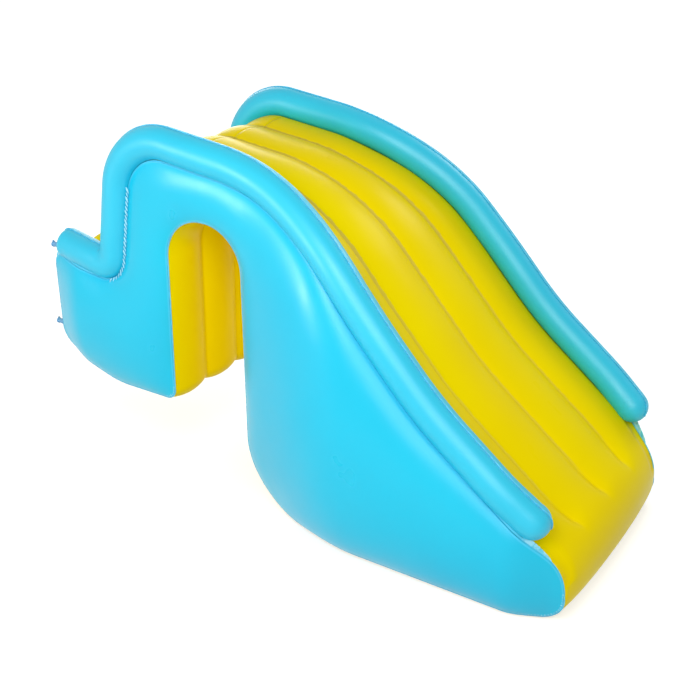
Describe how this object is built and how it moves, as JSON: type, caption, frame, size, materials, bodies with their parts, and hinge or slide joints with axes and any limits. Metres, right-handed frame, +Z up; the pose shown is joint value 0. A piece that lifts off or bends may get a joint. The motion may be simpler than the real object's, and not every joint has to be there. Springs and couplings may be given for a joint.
{
  "type": "inflatable water slide",
  "caption": "Inflatable vinyl pool slide that straddles a pool wall: ridged step, riser and curved deck, swollen side panels, tube rails and push-in air valves.",
  "frame": {"origin": "top of the slot's arch in the valley at the middle of the width, where the slide hangs on a pool wall", "axes": "+X from the slot towards the foot of the slide, +Y across to the far side as pictured, +Z up"},
  "size_m": [2.0074, 1.0132, 1.1935],
  "materials": {
    "yellow_film": "semi-gloss vinyl film",
    "blue_film": "semi-gloss vinyl film",
    "blue_seam": "welded vinyl film",
    "valve_grey": "soft moulded vinyl",
    "valve_blue": "soft moulded vinyl"
  },
  "bodies": {
    "slide": {"step_sheet": "yellow_film", "slide_deck_sheet": "yellow_film", "underside_sheet": "yellow_film", "slot_lining_sheet": "yellow_film", "sole_sheet": "yellow_film", "rear_sheet": "yellow_film", "near_inner_web": "yellow_film", "centre_inner_web": "yellow_film", "far_inner_web": "yellow_film", "near_side_panel": "blue_film", "near_rail_tube": "blue_film", "near_perimeter_seam": "blue_seam", "near_rail_seam": "blue_seam", "near_rail_front_gusset": "blue_seam", "near_rail_rear_gusset": "blue_seam", "far_side_panel": "blue_film", "far_rail_tube": "blue_film", "far_perimeter_seam": "blue_seam", "far_rail_seam": "blue_seam", "far_rail_front_gusset": "blue_seam", "far_rail_rear_gusset": "blue_seam", "body_valve_flange": "valve_grey", "near_rail_valve_flange": "valve_grey", "far_rail_valve_flange": "valve_grey"},
    "body_valve_stem": {"body_valve_stem": "valve_grey"},
    "body_valve_cap": {"body_valve_cap": "valve_blue"},
    "body_valve_flap": {"body_valve_flap": "valve_grey"},
    "near_rail_valve_stem": {"near_rail_valve_stem": "valve_grey"},
    "near_rail_valve_cap": {"near_rail_valve_cap": "valve_blue"},
    "near_rail_valve_flap": {"near_rail_valve_flap": "valve_grey"},
    "far_rail_valve_stem": {"far_rail_valve_stem": "valve_grey"},
    "far_rail_valve_cap": {"far_rail_valve_cap": "valve_blue"},
    "far_rail_valve_flap": {"far_rail_valve_flap": "valve_grey"}
  },
  "joints": [
    {"name": "body_valve_push", "type": "slide", "parent": "slide", "child": "body_valve_stem", "axis": [1, 0, 0], "range_m": [0, 0.022]},
    {"name": "body_valve_cap_hinge", "type": "hinge", "parent": "body_valve_stem", "child": "body_valve_cap", "pos_m": [-0.73925, -0.2641, -0.50416], "axis": [0, 1, 0], "range_deg": [0, 175]},
    {"name": "body_valve_flap_hinge", "type": "hinge", "parent": "body_valve_stem", "child": "body_valve_flap", "pos_m": [-0.68495, -0.2641, -0.51145], "axis": [0, -1, 0], "range_deg": [0, 60]},
    {"name": "near_rail_valve_push", "type": "slide", "parent": "slide", "child": "near_rail_valve_stem", "axis": [1, 0, 0], "range_m": [0, 0.022]},
    {"name": "near_rail_valve_cap_hinge", "type": "hinge", "parent": "near_rail_valve_stem", "child": "near_rail_valve_cap", "pos_m": [-0.69215, -0.28923, -0.20197], "axis": [0, 1, 0], "range_deg": [0, 175]},
    {"name": "near_rail_valve_flap_hinge", "type": "hinge", "parent": "near_rail_valve_stem", "child": "near_rail_valve_flap", "pos_m": [-0.63785, -0.28923, -0.20927], "axis": [0, -1, 0], "range_deg": [0, 60]},
    {"name": "far_rail_valve_push", "type": "slide", "parent": "slide", "child": "far_rail_valve_stem", "axis": [1, 0, 0], "range_m": [0, 0.022]},
    {"name": "far_rail_valve_cap_hinge", "type": "hinge", "parent": "far_rail_valve_stem", "child": "far_rail_valve_cap", "pos_m": [-0.69215, 0.28923, -0.20197], "axis": [0, 1, 0], "range_deg": [0, 175]},
    {"name": "far_rail_valve_flap_hinge", "type": "hinge", "parent": "far_rail_valve_stem", "child": "far_rail_valve_flap", "pos_m": [-0.63785, 0.28923, -0.20927], "axis": [0, -1, 0], "range_deg": [0, 60]}
  ]
}
